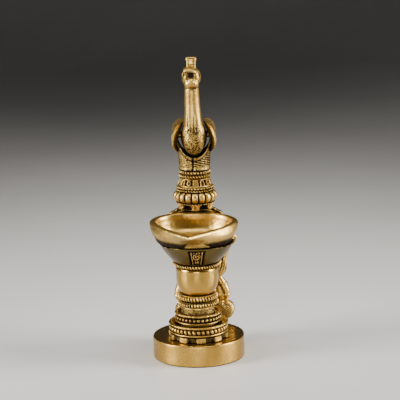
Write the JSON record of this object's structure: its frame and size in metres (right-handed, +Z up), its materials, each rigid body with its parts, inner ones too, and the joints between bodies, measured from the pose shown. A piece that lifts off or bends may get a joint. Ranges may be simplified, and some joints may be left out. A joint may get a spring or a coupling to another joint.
{
  "type": "standing oil lamp",
  "caption": "Small standing brass oil lamp: a leaf-shaped oil bowl on a turned stem, with a seated elephant-headed figure and a long-necked bird finial behind it.",
  "frame": {"origin": "centre of the base disc's flat underside", "axes": "+Z up along the stem; the spout of the oil bowl points to -Y, towards the viewer; +X is the viewer's right"},
  "size_m": [0.054, 0.0794, 0.1761],
  "materials": {
    "polished_brass": "cast and turned brass, buffed bright, with thin dark patina at the edges",
    "antique_brass": "chased cast brass, raised parts rubbed bright, dark patina in the hollows",
    "plain_brass": "plain turned brass fixings, unpolished"
  },
  "bodies": {
    "stand": {"base_disc": "polished_brass", "pedestal_foot": "antique_brass", "tier_lower": "antique_brass", "tier_upper": "antique_brass", "ring_lower": "antique_brass", "ring_upper": "antique_brass", "pot_stem": "polished_brass", "rope_ring": "antique_brass", "lotus_cup": "polished_brass", "niche_panel": "antique_brass", "oil_bowl": "polished_brass", "tie_screw": "plain_brass", "back_plate": "antique_brass", "seated_figure": "antique_brass", "plate_rivet_lower": "plain_brass", "plate_rivet_upper": "plain_brass", "figure_screw_left": "plain_brass", "figure_screw_right": "plain_brass", "column_stud": "plain_brass"},
    "knop": {"petal_cup": "antique_brass", "amla_knop": "antique_brass"},
    "finial": {"band_lower": "antique_brass", "niche_drum": "antique_brass", "band_upper": "antique_brass", "cradle_left": "antique_brass", "cradle_right": "antique_brass", "bird_body": "antique_brass", "bird_dowel": "plain_brass", "wing_left": "antique_brass", "wing_right": "antique_brass", "crest_tab": "antique_brass"}
  },
  "joints": [
    {"name": "finial_lift", "type": "slide", "parent": "stand", "child": "knop", "axis": [0, 0, 1], "range_m": [0, 0.012]},
    {"name": "finial_turn", "type": "hinge", "parent": "knop", "child": "finial", "pos_m": [0, 0.019, 0.0961], "axis": [0, 0, 1], "continuous": true}
  ]
}
